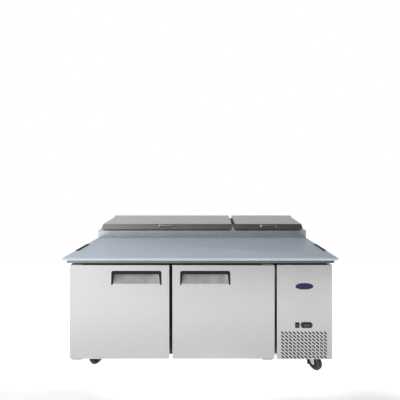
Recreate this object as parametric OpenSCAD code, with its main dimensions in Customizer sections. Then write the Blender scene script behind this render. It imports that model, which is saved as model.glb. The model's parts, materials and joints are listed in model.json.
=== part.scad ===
// Two-door refrigerated prep table: origin on the floor under the middle, X right, Y back, Z up.

/* [Cabinet] */
// Width of the cabinet
body_w = 1702; // [1400:1:2100]
// Depth from the cutting board's front edge to the back panel
overall_d = 841; // [800:1:1020]
// Height of the doors
door_h = 609.5; // [500:0.5:740]
// Height from the floor to the cabinet's underside
caster_h = 130; // [124:1:160]
// Thickness of the insulated walls
wall = 55; // [40:1:60]
// Thickness of the sheet steel
sheet = 1.2; // [0.8:0.1:2]
// Width of the machine compartment's front panel
machine_w = 357; // [345:1:430]

/* [Doors] */
// Thickness of each door
door_th = 50; // [40:1:60]
// Thickness of the door gasket
gasket_th = 10; // [8:1:12]
// Gap between the two doors
door_gap = 19; // [14:1:24]
// Gap between the right door and the machine panel
panel_gap = 14; // [12:1:20]
// How much wider the right door is than the left door
door_extra = 16; // [0:1:40]
// Length of the recessed door grip
grip_w = 327; // [250:1:380]
// Height of the recessed door grip
grip_h = 90; // [70:1:100]

/* [Worktop] */
// Thickness of the cutting board
board_th = 15; // [12:1:20]
// Reach of the cutting board past the door fronts
board_reach = 75; // [60:1:90]
// Depth of the cutting board
board_d = 483; // [400:1:490]
// Height of the folded apron
apron_h = 34; // [26:1:40]
// Height of the pan rail above the countertop
rail_h = 74; // [60:1:90]

/* [Pans and lids] */
// Length of a third-size pan, front to back
pan_l = 325; // [300:1:330]
// Width of a third-size pan
pan_w = 176; // [150:1:176]
// Depth of a pan
pan_depth = 100; // [65:1:105]
// Height of the lids at their back edge, over the rail deck
lid_back_h = 65; // [55:1:80]
// Gap between the two lids
lid_gap = 28; // [20:1:34]

/* [Casters] */
// Wheel radius
wheel_r = 50; // [42:1:55]
// Wheel width
wheel_w = 32; // [24:1:36]
// Horizontal distance from the swivel to the axle
caster_trail = 32; // [26:1:36]

/* [Hidden] */
$fn = 48;
eps = 0.5;

// Planes of the cabinet
half_w = body_w / 2;
back_y = overall_d / 2;
door_y = -overall_d / 2 + board_reach;
body_y = door_y + door_th + gasket_th;
body_z = caster_h;
door_z = body_z + 12;
door_top = door_z + door_h;
top_w = half_w + 2;
apron_y = door_y - 23;
top_z = door_top + 20.5 + apron_h;
inner_x = half_w - sheet;
inner_y = back_y - sheet;
frame_th = 2;
foam_y = body_y + frame_th;

// Doors, mullion and machine panel along X
panel_x = half_w - machine_w;
door_span = panel_x + half_w - door_gap - panel_gap;
left_w = (door_span - door_extra) / 2;
right_w = (door_span + door_extra) / 2;
left_x = -half_w;
right_x = left_x + left_w + door_gap;
gasket_in = 27;
gasket_w = 16;
opening_in = gasket_in + gasket_w + 4;
partition_x = right_x + right_w + 6;
liner_x0 = -half_w + wall;
liner_x1 = partition_x - wall;
liner_z0 = body_z + wall + 5;
liner_z1 = door_top - opening_in - 4.5;
liner_y1 = back_y - wall;

// Door details
pivot_in = 25;
pivot_depth = 15;
pin_r = 5;
pin_gap = 0.05;
hinge_plate_th = 5;
grip_from_edge = 50;
grip_below_top = 38;
grip_deep = 30;
trim_band = 17;
trim_proud = 3;

// Pans: six on the left, three on the right of a bridge
left_pans = 6;
right_pans = 3;
pan_pitch = pan_w + 1;
bridge = 40;
pans_span = (left_pans + right_pans) * pan_pitch - 2 + bridge;
pans_x0 = -pans_span / 2;
bridge_x = pans_x0 + left_pans * pan_pitch - 1 + bridge / 2;
pan_rim = 11;
pan_wall = 0.8;
deck_z = top_z + rail_h;
deck_th = 1.5;
pan_z = deck_z - 8;
rail_y = -overall_d / 2 + board_d + 1;
well_y0 = rail_y + 11;
well_y1 = back_y - 14;
pans_y0 = (well_y0 + well_y1 - pan_l) / 2;
well_x = pans_span / 2 + 8;
well_z = pan_z - pan_depth - 22;

// Lids
lid_split = bridge_x - 5;
lid_end = well_x + 7;
lid_front_y = rail_y + 4;
lid_nose = 37;
lid_back_y = back_y - 8;
lid_low_z = deck_z + 8;
lid_front_z = deck_z + 45;
lid_back_z = deck_z + lid_back_h;
lid_pivot_y = lid_back_y - 7.5;
lid_pivot_z = lid_back_z - 10;
lid_pin_r = 4;
ear_th = 3;
notch_w = 9;
lid_skin_th = 1.2;
bearing_w = 14;
notch_in = 46;
lid_handle_w = 135;
left_notch = lid_split - lid_gap / 2 - notch_in;
right_notch = lid_split + lid_gap / 2 + notch_in;

// Machine panel details
panel_mid = panel_x + machine_w / 2;
grille_mid = panel_mid - 3;
grille_cols = 12;
grille_rows = 8;
grille_pitch_x = 25.06;
grille_pitch_z = 22.1;
grille_z = door_z + 3.5;
slot_l = 27;
slot_w = 8;
slot_tilt = -42;
controls_z = door_top - 389;
switch_x = panel_x + 132;
controller_x = panel_x + 192.5;
badge_x = panel_x + 177;
badge_z = door_top - 138;
button_dx = 30;

// Refrigeration
fan_r = 95;
fan_hub_r = 24;
coil_y = door_y + 60;
coil_th = 44;
coil_w = 280;
coil_z = body_z + 20;
coil_h = 215;
shroud_y = coil_y + coil_th + 2;
evap_x0 = liner_x1 - 640;
evap_w = 600;
evap_d = 95;
evap_h = 125;
evap_fan_r = 48;
shaft_r = 4;
shelf_levels = [165, 330];
shelf_d = 505;
wire_r = 2.5;
shelf_wires = 16;

// Grips let into the ends of the cutting board
end_grip_w = 24;
end_grip_l = 154;
end_grip_y = -overall_d / 2 + 144;
end_grip_seat = 6;
end_grip_rise = 5;
end_grip_clear = 0.3;

// Casters
plate_th = 4;
plate_l = 94;
plate_w = 66;
stem_x = half_w - 87;
stem_front_y = door_y + 129.5;
stem_rear_y = back_y - 70;
axle_r = 5;
fork_gap = 2.5;
fork_th = 3;
front_left_yaw = 143;
front_right_yaw = 33;
brake_y = 31.5;
brake_drop = -6;
brake_pin_r = 2;
rear_left_yaw = -25;
rear_right_yaw = 20;

steel = [0.78, 0.79, 0.80];
dark = [0.12, 0.12, 0.13];
grey = [0.55, 0.57, 0.58];

// A box given by its low corner and its high corner
module block(lo, hi) {
    translate(lo) cube([hi[0] - lo[0], hi[1] - lo[1], hi[2] - lo[2]]);
}

// The same piece on the left and on the right
module both_sides() {
    children();
    mirror([1, 0, 0]) children();
}

// A flat outline in X and Z, given a thickness towards the back
module upright(y, th) {
    translate([0, y + th, 0]) rotate([90, 0, 0]) linear_extrude(th) children();
}

// A side outline in Y and Z, stretched along X from x0 to x1
module side_extrude(x0, x1) {
    translate([x0, 0, 0]) rotate([90, 0, 90]) linear_extrude(x1 - x0) children();
}

// A rectangle with rounded corners about its own middle
module rounded(w, h, r) {
    square([w - 2 * r, h], center = true);
    square([w, h - 2 * r], center = true);
    for (sx = [-1, 1], sz = [-1, 1]) translate([sx * (w / 2 - r), sz * (h / 2 - r)]) circle(r);
}

// A tube through a list of points, with a ball at each bend
module pipe(points, r) {
    for (i = [0 : len(points) - 2]) {
        run = points[i + 1] - points[i];
        length = norm(run);
        translate(points[i])
            rotate([0, acos(run[2] / length), atan2(run[1], run[0])])
                cylinder(h = length, r = r, $fn = 24);
        if (i > 0) translate(points[i]) sphere(r, $fn = 24);
    }
}

// ---- cabinet ----

module side_panels() {
    color(steel) both_sides() block([inner_x, body_y, body_z], [half_w, back_y, top_z - 2]);
}

module back_panel() {
    louvres = 14;
    louvre_h = 12;
    louvre_pitch = 25;
    color(steel) upright(inner_y, sheet) difference() {
        translate([-inner_x, body_z]) square([2 * inner_x, top_z - 2 - body_z]);
        for (i = [0 : louvres - 1])
            translate([partition_x + 50, body_z + 80 + i * louvre_pitch])
                square([inner_x - partition_x - 90, louvre_h]);
        translate([partition_x + 17, body_z + 30]) circle(9);
    }
}

module bottom_panel() {
    color(steel) difference() {
        block([-inner_x, foam_y, body_z], [inner_x, inner_y, body_z + frame_th]);
        for (x = [-stem_x, stem_x], y = [stem_front_y, stem_rear_y])
            translate([x, y, body_z - eps]) cylinder(h = frame_th + 2 * eps, r = 8);
    }
}

module cabinet_liner() {
    color(steel) difference() {
        block([liner_x0 - sheet, foam_y, liner_z0 - sheet],
              [liner_x1 + sheet, liner_y1 + sheet, liner_z1 + sheet]);
        block([liner_x0, foam_y - eps, liner_z0], [liner_x1, liner_y1, liner_z1]);
        translate([liner_x1 - eps, liner_y1 - 40, liner_z1 - 60])
            rotate([0, 90, 0]) cylinder(h = 2 * sheet, r = 14);
    }
}

module insulation() {
    foam_top = top_z - sheet;
    color([0.9, 0.85, 0.6]) difference() {
        union() {
            block([-inner_x, foam_y, body_z + frame_th], [partition_x, inner_y, foam_top]);
            block([partition_x - eps, foam_y, liner_z1], [inner_x, inner_y, foam_top]);
            block([-inner_x, rail_y + 8, foam_top - eps], [inner_x, inner_y - 0.6, top_z + eps]);
            block([-inner_x, rail_y + sheet, top_z], [inner_x, inner_y - 0.6, deck_z - deck_th]);
        }
        block([liner_x0 - sheet, foam_y - eps, liner_z0 - sheet],
              [liner_x1 + sheet, liner_y1 + sheet, liner_z1 + sheet]);
        block([-well_x - sheet, well_y0 - sheet, well_z - sheet],
              [well_x + sheet, well_y1 + sheet, deck_z + eps]);
        translate([liner_x1 - eps, liner_y1 - 40, liner_z1 - 60])
            rotate([0, 90, 0]) cylinder(h = wall + 2, r = 14);
    }
}

module front_frame() {
    mullion_l = left_x + left_w - opening_in;
    mullion_r = right_x + opening_in;
    color(steel) difference() {
        union() {
            block([-inner_x, body_y, body_z], [partition_x, foam_y, top_z - 2]);
            block([partition_x - eps, body_y, liner_z1], [inner_x, foam_y, top_z - 2]);
        }
        block([liner_x0, body_y - eps, liner_z0], [mullion_l, foam_y + eps, liner_z1]);
        block([mullion_r, body_y - eps, liner_z0], [liner_x1, foam_y + eps, liner_z1]);
    }
}

module machine_partition() {
    color(steel) difference() {
        union() {
            block([partition_x, foam_y, body_z + frame_th], [partition_x + sheet, inner_y, liner_z1]);
            block([partition_x, foam_y, liner_z1 - sheet], [inner_x, inner_y, liner_z1]);
        }
        translate([partition_x - eps, liner_y1 - 40, liner_z1 - 60])
            rotate([0, 90, 0]) cylinder(h = 2 * sheet, r = 14);
    }
}

module countertop() {
    apron_z = top_z - apron_h;
    side_in = half_w + 0.6;
    color(steel) {
        block([-top_w, apron_y, top_z - sheet], [top_w, rail_y + 8, top_z]);
        block([-top_w, apron_y, apron_z], [top_w, apron_y + sheet, top_z]);
        block([-top_w, apron_y, apron_z], [top_w, apron_y + 16, apron_z + sheet]);
        both_sides() block([side_in, apron_y, apron_z], [top_w, inner_y, top_z]);
    }
}

// Hand grips screwed down near each end of the board
module board_grips() {
    soft = 1.5;
    tall = board_th - end_grip_seat + end_grip_rise;
    color(dark) both_sides()
        translate([top_w - end_grip_w / 2, end_grip_y + end_grip_l / 2, top_z + end_grip_seat]) {
            linear_extrude(tall - soft) rounded(end_grip_w, end_grip_l, 6);
            linear_extrude(tall) rounded(end_grip_w - 2 * soft, end_grip_l - 2 * soft, 4.5);
        }
}

module cutting_board() {
    edge = 2;
    front = -overall_d / 2;
    color([0.86, 0.88, 0.9]) difference() {
        side_extrude(-top_w, top_w) polygon([
            [front + edge, top_z], [front + board_d, top_z], [front + board_d, top_z + board_th],
            [front + edge, top_z + board_th], [front, top_z + board_th - edge], [front, top_z + edge]
        ]);
        both_sides() block(
            [top_w - end_grip_w - end_grip_clear, end_grip_y - end_grip_clear, top_z + end_grip_seat],
            [top_w + eps, end_grip_y + end_grip_l + end_grip_clear, top_z + board_th + eps]
        );
    }
}

// ---- pan rail ----

module rail_housing() {
    lip_d = 6.5;
    upstand_z = deck_z + 38;
    color(steel) {
        block([-top_w, rail_y, top_z], [top_w, rail_y + sheet, deck_z - deck_th]);
        both_sides() block([top_w - sheet, rail_y, top_z], [top_w, back_y, deck_z - deck_th]);
        block([-top_w, inner_y - 0.6, top_z], [top_w, back_y, upstand_z]);
        block([-top_w, back_y - lip_d, upstand_z - sheet], [top_w, back_y, upstand_z]);
    }
}

module rail_deck() {
    left_group_x1 = bridge_x - bridge / 2 - pan_rim;
    right_group_x0 = bridge_x + bridge / 2 + pan_rim;
    color(steel) difference() {
        block([-top_w, rail_y, deck_z - deck_th], [top_w, inner_y - 0.6, deck_z]);
        block([pans_x0 - 3, pans_y0 - 3, deck_z - 3], [left_group_x1 + 14, pans_y0 + pan_l + 3, deck_z + 1]);
        block([right_group_x0 - 14, pans_y0 - 3, deck_z - 3], [-pans_x0 + 3, pans_y0 + pan_l + 3, deck_z + 1]);
    }
}

module rail_well() {
    color(steel) difference() {
        block([-well_x - sheet, well_y0 - sheet, well_z - sheet],
              [well_x + sheet, well_y1 + sheet, deck_z - deck_th]);
        block([-well_x, well_y0, well_z], [well_x, well_y1, deck_z]);
    }
}

// Left edge of pan number i, counted from the left
function pan_x(i) = pans_x0 + i * pan_pitch + (i < left_pans ? 0 : bridge - 1);

module pan_bars() {
    bar_th = 2;
    bar_w = 18;
    bar_z = pan_z - 1.6 - bar_th;
    bar_y0 = well_y0;
    color(steel) {
        for (i = [1 : left_pans + right_pans - 1])
            if (i != left_pans)
                block([pan_x(i) - 0.5 - bar_w / 2, bar_y0, bar_z],
                      [pan_x(i) - 0.5 + bar_w / 2, well_y1, bar_z + bar_th]);
        block([bridge_x - bridge / 2 - 9, bar_y0, bar_z], [bridge_x + bridge / 2 + 9, well_y1, bar_z + bar_th]);
        both_sides() block([-pans_x0 - 9, bar_y0, bar_z], [well_x, well_y1, bar_z + bar_th]);
    }
}

module one_pan() {
    inner_w = pan_w - 2 * pan_rim;
    inner_l = pan_l - 2 * pan_rim;
    corner = 14;
    translate([0, 0, -1.6]) linear_extrude(1.6) difference() {
        rounded(pan_w, pan_l, corner + 4);
        rounded(inner_w - 2 * pan_wall, inner_l - 2 * pan_wall, corner - pan_wall);
    }
    translate([0, 0, -pan_depth]) linear_extrude(pan_depth - 1) difference() {
        rounded(inner_w, inner_l, corner);
        rounded(inner_w - 2 * pan_wall, inner_l - 2 * pan_wall, corner - pan_wall);
    }
    translate([0, 0, -pan_depth]) linear_extrude(pan_wall) rounded(inner_w, inner_l, corner);
}

module pans() {
    color([0.82, 0.83, 0.84]) for (i = [0 : left_pans + right_pans - 1])
        translate([pan_x(i) + pan_w / 2, pans_y0 + pan_l / 2, pan_z]) one_pan();
}

// ---- lids ----

module lid_hinge_ears() {
    ear_r = 8;
    pin_l = bearing_w + 4;
    outer_x = lid_end + 3;
    color(dark) {
        for (x = [-outer_x - ear_th, outer_x, left_notch - ear_th / 2, right_notch - ear_th / 2]) {
            block([x, lid_pivot_y - ear_r, deck_z], [x + ear_th, lid_pivot_y + ear_r - 2, lid_pivot_z]);
            translate([x, lid_pivot_y, lid_pivot_z]) rotate([0, 90, 0]) cylinder(h = ear_th, r = ear_r);
        }
        both_sides() translate([lid_end - pin_l, lid_pivot_y, lid_pivot_z])
            rotate([0, 90, 0]) cylinder(h = pin_l + ear_th + 3, r = lid_pin_r);
        both_sides() translate([outer_x + ear_th, lid_pivot_y, lid_pivot_z])
            rotate([0, 90, 0]) cylinder(h = 9, r = ear_r + 2);
        for (x = [left_notch, right_notch])
            translate([x - notch_w / 2 - pin_l, lid_pivot_y, lid_pivot_z])
                rotate([0, 90, 0]) cylinder(h = notch_w + 2 * pin_l, r = lid_pin_r);
    }
}

module lid_outline(inset) {
    low = lid_low_z + (inset > 0 ? -eps : 0);
    polygon([
        [lid_front_y + inset, low], [lid_front_y + lid_nose + inset / 2, lid_front_z - inset],
        [lid_back_y - inset, lid_back_z - inset], [lid_back_y - inset, low]
    ]);
}

// The way through a lid for its pins and for the inner ear
module lid_cuts(x0, x1, notch) {
    translate([x0 - eps, lid_pivot_y, lid_pivot_z])
        rotate([0, 90, 0]) cylinder(h = x1 - x0 + 2 * eps, r = lid_pin_r + pin_gap);
    block([notch - notch_w / 2, lid_pivot_y - 12, lid_low_z - 1], [notch + notch_w / 2, back_y, lid_back_z + 1]);
}

module lid_skin(x0, x1, notch) {
    color(grey) difference() {
        side_extrude(x0, x1) lid_outline(0);
        side_extrude(x0 + lid_skin_th, x1 - lid_skin_th) lid_outline(lid_skin_th);
        lid_cuts(x0, x1, notch);
    }
}

module lid_liner(x0, x1, notch) {
    color([0.75, 0.76, 0.77]) difference() {
        intersection() {
            side_extrude(x0 + lid_skin_th, x1 - lid_skin_th) lid_outline(lid_skin_th);
            block([x0, lid_front_y, lid_low_z], [x1, lid_back_y, lid_back_z]);
        }
        lid_cuts(x0, x1, notch);
    }
}

// Strap pull on the sloping nose, centred on its own middle
module lid_handle(mid) {
    nose_rise = lid_front_z - lid_low_z;
    slope = atan2(nose_rise, lid_nose);
    bar_l = norm([nose_rise, lid_nose]);
    strap_w = 16;
    stand = 9;
    color(dark) translate([mid, lid_front_y, lid_low_z]) rotate([slope, 0, 0])
        translate([0, bar_l * 0.45, 0]) {
            block([-lid_handle_w / 2, 0, stand], [lid_handle_w / 2, strap_w, stand + 3]);
            for (s = [-1, 1]) translate([s * (lid_handle_w / 2 - 3), 0, 0])
                block([-3, 0, 0], [3, strap_w, stand + 3]);
        }
}

module lid_left_skin() { lid_skin(-lid_end, lid_split - lid_gap / 2, left_notch); }
module lid_left_liner() { lid_liner(-lid_end, lid_split - lid_gap / 2, left_notch); }
module lid_left_handle() { lid_handle((-lid_end + lid_split - lid_gap / 2) / 2); }
module lid_right_skin() { lid_skin(lid_split + lid_gap / 2, lid_end, right_notch); }
module lid_right_liner() { lid_liner(lid_split + lid_gap / 2, lid_end, right_notch); }
module lid_right_handle() { lid_handle((lid_end + lid_split + lid_gap / 2) / 2); }

// ---- doors ----

// x0 is the door's left edge, w its width, hinge -1 for a left hinge and 1 for a right hinge
function pivot_x(x0, w, hinge) = hinge < 0 ? x0 + pivot_in : x0 + w - pivot_in;
function grip_x(x0, w, hinge) = hinge < 0 ? x0 + w - grip_from_edge - grip_w : x0 + grip_from_edge;

module grip_cut(x0, w, hinge, slack) {
    gx = grip_x(x0, w, hinge);
    gz = door_top - grip_below_top - grip_h;
    block([gx + 6 - slack, door_y - eps, gz + 1 - slack],
          [gx + grip_w - 6 + slack, door_y + grip_deep + 4 + slack, gz + grip_h - 6 + slack]);
}

module pin_holes(x0, w, hinge) {
    for (z = [door_z - eps, door_top - 18])
        translate([pivot_x(x0, w, hinge), door_y + pivot_depth, z])
            cylinder(h = 18 + eps, r = pin_r + pin_gap);
}

module door_skin(x0, w, hinge) {
    color(steel) difference() {
        block([x0, door_y, door_z], [x0 + w, door_y + door_th - 2, door_top]);
        block([x0 + sheet, door_y + sheet, door_z + sheet], [x0 + w - sheet, door_y + door_th, door_top - sheet]);
        grip_cut(x0, w, hinge, 0.2);
        pin_holes(x0, w, hinge);
    }
}

module door_liner(x0, w, hinge) {
    color([0.8, 0.81, 0.82]) difference() {
        union() {
            block([x0 + sheet, door_y + sheet, door_z + sheet],
                  [x0 + w - sheet, door_y + door_th - 2, door_top - sheet]);
            block([x0, door_y + door_th - 2, door_z], [x0 + w, door_y + door_th, door_top]);
        }
        grip_cut(x0, w, hinge, 0.2);
        pin_holes(x0, w, hinge);
    }
}

module door_gasket(x0, w) {
    color([0.2, 0.2, 0.21]) upright(door_y + door_th, gasket_th)
        translate([x0 + w / 2, (door_z + door_top) / 2]) difference() {
            rounded(w - 2 * gasket_in, door_h - 2 * gasket_in, 8);
            rounded(w - 2 * gasket_in - 2 * gasket_w, door_h - 2 * gasket_in - 2 * gasket_w, 4);
        }
}

module door_handle(x0, w, hinge) {
    gx = grip_x(x0, w, hinge);
    gz = door_top - grip_below_top - grip_h;
    mid = gx + grip_w / 2;
    leg = 9;
    scoop_x = grip_w / 2 - leg - 6;
    lip_z = gz + grip_h - trim_band;
    color(dark) difference() {
        union() {
            block([gx + 6, door_y, gz + 1], [gx + grip_w - 6, door_y + grip_deep + 4, gz + grip_h - 6]);
            upright(door_y - trim_proud, trim_proud) difference() {
                union() {
                    translate([mid, gz + grip_h / 2]) rounded(grip_w, grip_h, 12);
                    translate([gx, gz]) square([grip_w, grip_h / 2]);
                }
                translate([mid, gz]) polygon([
                    [-scoop_x - 4, -1], [scoop_x + 4, -1],
                    [scoop_x - 4, grip_h - trim_band], [-scoop_x + 4, grip_h - trim_band]
                ]);
            }
        }
        side_extrude(mid - scoop_x + 4, mid + scoop_x - 4) polygon([
            [door_y - eps, gz + 4], [door_y + grip_deep, lip_z - 12], [door_y + grip_deep, lip_z + 6],
            [door_y + 5, lip_z + 6], [door_y + 5, lip_z], [door_y - eps, lip_z]
        ]);
    }
}

module door_left_skin() { door_skin(left_x, left_w, -1); }
module door_left_liner() { door_liner(left_x, left_w, -1); }
module door_left_gasket() { door_gasket(left_x, left_w); }
module door_left_handle() { door_handle(left_x, left_w, -1); }
module door_right_skin() { door_skin(right_x, right_w, 1); }
module door_right_liner() { door_liner(right_x, right_w, 1); }
module door_right_gasket() { door_gasket(right_x, right_w); }
module door_right_handle() { door_handle(right_x, right_w, 1); }

module door_hinge_plates() {
    plate_l = 68;
    inset = 13;
    pin_l = 14;
    color(steel) for (door = [[left_x, left_w, -1], [right_x, right_w, 1]]) {
        px = pivot_x(door[0], door[1], door[2]);
        x0 = door[2] < 0 ? left_x + inset : right_x + right_w - inset - plate_l;
        for (side = [0, 1]) {
            z0 = side == 0 ? door_z - 1 - hinge_plate_th : door_top + 1;
            pin_z = side == 0 ? z0 : door_top - pin_l;
            web_z0 = side == 0 ? body_z : z0;
            web_z1 = side == 0 ? z0 + hinge_plate_th : z0 + 16;
            block([x0, door_y + 3, z0], [x0 + plate_l, body_y, z0 + hinge_plate_th]);
            block([x0, body_y - 3, web_z0], [x0 + plate_l, body_y, web_z1]);
            translate([px, door_y + pivot_depth, pin_z])
                cylinder(h = pin_l + 1 + hinge_plate_th, r = pin_r);
        }
    }
}

// ---- machine panel and controls ----

module slot_grid() {
    for (i = [0 : grille_cols - 1], j = [0 : grille_rows - 1])
        translate([grille_mid + (i - (grille_cols - 1) / 2) * grille_pitch_x,
                   grille_z + (j + 0.5) * grille_pitch_z])
            rotate(slot_tilt) {
                square([slot_l - slot_w, slot_w], center = true);
                for (s = [-1, 1]) translate([s * (slot_l - slot_w) / 2, 0]) circle(slot_w / 2, $fn = 16);
            }
}

module machine_panel() {
    flange = 22;
    color(steel) {
        upright(door_y, sheet) difference() {
            translate([panel_x, door_z]) square([machine_w, door_h]);
            slot_grid();
            translate([switch_x, controls_z]) square([24, 30], center = true);
            translate([controller_x, controls_z]) square([66, 28], center = true);
        }
        difference() {
            block([panel_x, door_y, door_z], [half_w, body_y - 0.5, door_top]);
            block([panel_x + sheet, door_y - eps, door_z + sheet], [half_w - sheet, body_y, door_top - sheet]);
        }
        for (z = [door_z + flange, door_top - 2 * flange])
            block([half_w - flange, body_y - 2, z], [half_w - sheet / 2, body_y - 0.5, z + flange]);
    }
}

module badge() {
    half_l = 63;
    half_h = 21.5;
    steps = 60;
    color([0.15, 0.14, 0.35]) upright(door_y - 2, 2) translate([badge_x, badge_z])
        polygon([for (i = [0 : steps - 1]) [half_l * cos(360 * i / steps), half_h * sin(360 * i / steps)]]);
}

module switch_bezel() {
    color(dark) translate([switch_x - 9.6, door_y + 5, controls_z])
        rotate([0, 90, 0]) cylinder(h = 19.2, r = 1.5 - pin_gap);
    color(dark) difference() {
        union() {
            upright(door_y - 2, 2) translate([switch_x, controls_z]) rounded(28, 34, 2);
            block([switch_x - 12, door_y, controls_z - 15], [switch_x + 12, door_y + 22, controls_z + 15]);
        }
        block([switch_x - 9.5, door_y - 3, controls_z - 12.5], [switch_x + 9.5, door_y + 18, controls_z + 12.5]);
    }
}

module switch_rocker() {
    color([0.1, 0.35, 0.2]) difference() {
        side_extrude(switch_x - 9, switch_x + 9) polygon([
            [door_y - 3, controls_z - 10.5], [door_y - 1, controls_z], [door_y - 4.5, controls_z + 10.5],
            [door_y + 5, controls_z + 9.5], [door_y + 10, controls_z], [door_y + 5, controls_z - 9.5]
        ]);
        translate([switch_x - 10, door_y + 5, controls_z]) rotate([0, 90, 0]) cylinder(h = 20, r = 1.5);
    }
}

module controller_case() {
    color(dark) difference() {
        union() {
            upright(door_y - 4, 4) translate([controller_x, controls_z]) rounded(75, 35, 16);
            block([controller_x - 33, door_y, controls_z - 14], [controller_x + 33, door_y + 50, controls_z + 14]);
        }
        for (s = [-1, 1]) translate([controller_x + s * button_dx, door_y + 1, controls_z])
            rotate([90, 0, 0]) cylinder(h = 6, r = 3.6);
    }
}

module controller_button(side) {
    color(grey) translate([controller_x + side * button_dx, door_y - 1.6, controls_z])
        rotate([90, 0, 0]) cylinder(h = 3.2, r = 3.3);
}

module controller_set_button() { controller_button(-1); }
module controller_light_button() { controller_button(1); }

// ---- inside the cabinet ----

module shelf_posts() {
    post = 14;
    color(steel) for (x = [liner_x0, left_x + left_w - 40 - post, right_x + 40, liner_x1 - post],
                      y = [foam_y + 25, foam_y + 25 + shelf_d - 40])
        block([x, y, liner_z0], [x + post, y + post, liner_z1]);
}

module one_shelf(x0, x1, z) {
    y0 = foam_y + 12;
    bar_y = foam_y + 29;
    bar_pitch = (shelf_d - 40) / 2;
    pitch = (x1 - x0 - 12) / (shelf_wires - 1);
    for (i = [0 : 2]) block([x0 - 2, bar_y + i * bar_pitch, z], [x1 + 2, bar_y + i * bar_pitch + 6, z + 6]);
    for (i = [0 : shelf_wires - 1]) translate([x0 + 6 + i * pitch, y0, z + 6 + wire_r - eps])
        rotate([-90, 0, 0]) cylinder(h = shelf_d, r = wire_r, $fn = 24);
}

module shelves() {
    color(steel) for (level = shelf_levels) {
        one_shelf(liner_x0 + 16, left_x + left_w - 56, liner_z0 + level);
        one_shelf(right_x + 56, liner_x1 - 16, liner_z0 + level);
    }
}

module evaporator_cover() {
    y0 = liner_y1 - evap_d;
    z0 = liner_z1 - evap_h;
    color([0.85, 0.86, 0.87]) difference() {
        block([evap_x0, y0, z0], [evap_x0 + evap_w, liner_y1, liner_z1]);
        block([evap_x0 + 2, y0 + 2, z0 + 2], [evap_x0 + evap_w - 2, liner_y1 - 2, liner_z1 - 2]);
        translate([evap_x0 + 90, y0 + 3, z0 + evap_h / 2]) rotate([90, 0, 0]) cylinder(h = 6, r = evap_fan_r + 3);
        block([evap_x0 + 180, y0 - 1, z0 + 30], [evap_x0 + evap_w - 30, y0 + 3, z0 + evap_h - 30]);
        translate([evap_x0 + evap_w - 3, liner_y1 - 40, liner_z1 - 60])
            rotate([0, 90, 0]) cylinder(h = 6, r = 14);
    }
    color(dark) translate([evap_x0 + 90, liner_y1 - 1, z0 + evap_h / 2]) rotate([90, 0, 0]) {
        cylinder(h = evap_d - 48, r = 18);
        cylinder(h = evap_d - 26, r = shaft_r);
    }
}

module coil(x0, y0, z0, w, d, h, fins) {
    pitch = (w - 20) / (fins - 1);
    for (i = [0 : fins - 1]) block([x0 + 10 + i * pitch - 0.5, y0, z0], [x0 + 10 + i * pitch + 0.5, y0 + d, z0 + h]);
    for (z = [z0 + h / 6, z0 + h / 2, z0 + h * 5 / 6])
        translate([x0, y0 + d / 2, z]) rotate([0, 90, 0]) cylinder(h = w, r = 5);
}

module evaporator_coil() {
    color([0.75, 0.76, 0.78]) coil(evap_x0 + 190, liner_y1 - 70, liner_z1 - evap_h + 20, 360, 56, 85, 14);
}

module fan(r, hub_r, depth) {
    blades = 5;
    difference() {
        cylinder(h = depth, r = hub_r);
        translate([0, 0, -eps]) cylinder(h = depth - 2, r = shaft_r + pin_gap);
    }
    for (i = [0 : blades - 1]) rotate(i * 360 / blades)
        translate([hub_r - 3, 0, depth / 2]) rotate([28, 0, 0])
            translate([0, -r * 0.28, -1]) cube([r - hub_r, r * 0.56, 2]);
}

module evaporator_fan() {
    color(dark) translate([evap_x0 + 90, liner_y1 - evap_d + 40, liner_z1 - evap_h / 2])
        rotate([90, 0, 0]) fan(evap_fan_r, 14, 22);
}

module condenser_fan() {
    color(dark) translate([panel_mid, shroud_y + 34, coil_z + coil_h / 2])
        rotate([90, 0, 0]) fan(fan_r, fan_hub_r, 22);
}

module fan_shroud() {
    x0 = panel_mid - coil_w / 2;
    motor_y = shroud_y + 42;
    mid_z = coil_z + coil_h / 2;
    color(grey) {
        difference() {
            block([x0, shroud_y, coil_z], [x0 + coil_w, shroud_y + 3, coil_z + coil_h]);
            translate([panel_mid, shroud_y + 4, mid_z]) rotate([90, 0, 0]) cylinder(h = 6, r = fan_r + 6);
        }
        translate([panel_mid, motor_y + 50, mid_z]) rotate([90, 0, 0]) {
            cylinder(h = 50, r = 34);
            cylinder(h = 76, r = shaft_r);
        }
        for (x = [panel_mid - 60, panel_mid + 50])
            block([x, motor_y + 20, body_z + frame_th], [x + 10, motor_y + 26, mid_z]);
        block([panel_mid - 60, motor_y + 20, mid_z - 8], [panel_mid + 60, motor_y + 26, mid_z + 8]);
        for (x = [x0, x0 + coil_w - 12])
            block([x, shroud_y, body_z + frame_th], [x + 12, shroud_y + 3, coil_z + eps]);
    }
}

module condenser_coil() {
    color([0.7, 0.71, 0.73]) coil(panel_mid - coil_w / 2, coil_y, coil_z, coil_w, coil_th, coil_h, 18);
}

module compressor() {
    r = 78;
    base_z = body_z + frame_th;
    color(dark) translate([panel_mid, inner_y - 200, base_z]) {
        rotate_extrude($fn = 64) polygon([
            [0, 22], [r - 20, 22], [r, 34], [r, 120], [r - 22, 150], [0, 162]
        ]);
        block([-105, -65, 14], [105, 65, 22 + eps]);
        for (x = [-88, 88], y = [-50, 50]) translate([x, y, 0]) cylinder(h = 14 + eps, r = 12);
    }
}

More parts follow.
